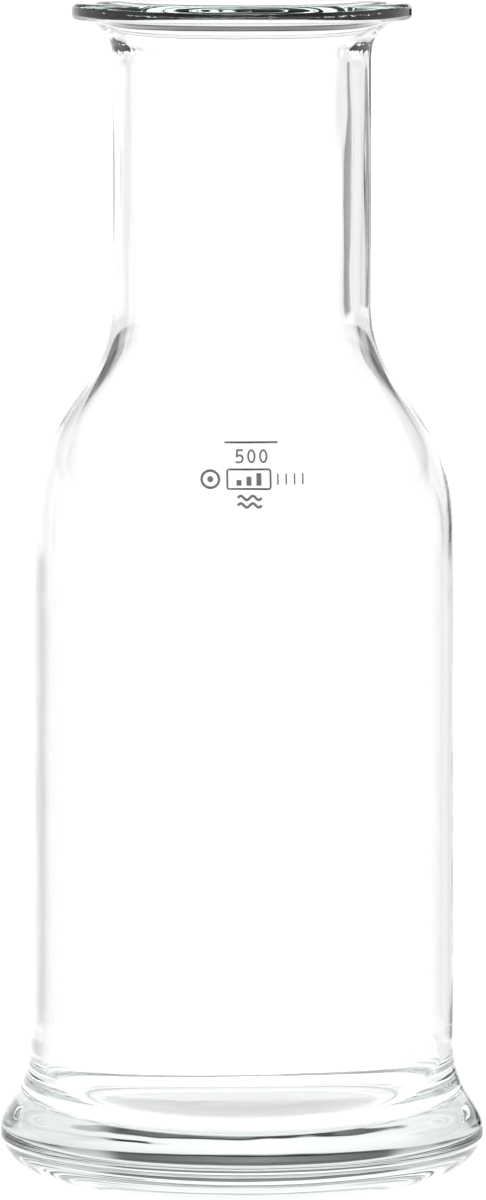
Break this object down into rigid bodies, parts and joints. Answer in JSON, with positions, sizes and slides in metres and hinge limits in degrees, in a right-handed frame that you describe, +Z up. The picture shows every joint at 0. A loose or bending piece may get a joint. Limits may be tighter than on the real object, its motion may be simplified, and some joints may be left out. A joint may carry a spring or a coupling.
{
  "type": "glass carafe",
  "caption": "Clear glass serving carafe with a flat flared rim, straight neck, sloping shoulder and heavy bulging foot, with an enamel fill line on the shoulder.",
  "frame": {"origin": "centre of the resting ring under the foot, on the surface the carafe stands on", "axes": "+Z up along the carafe's axis of revolution; the enamel print is on the -Y side"},
  "size_m": [0.087, 0.087, 0.21],
  "materials": {
    "glass": "clear polished soda-lime glass with a faint green tint in thick sections",
    "enamel": null
  },
  "bodies": {
    "root": {"glass_carafe": "glass", "print_fill_line": "enamel", "print_digit_5": "enamel", "print_digit_0_middle": "enamel", "print_digit_0_right": "enamel", "print_frame": "enamel", "print_bar_1": "enamel", "print_bar_2": "enamel", "print_bar_3": "enamel", "print_ring": "enamel", "print_ring_dot": "enamel", "print_tick_1": "enamel", "print_tick_2": "enamel", "print_tick_3": "enamel", "print_tick_4": "enamel", "print_wave_upper": "enamel", "print_wave_lower": "enamel"}
  },
  "joints": []
}
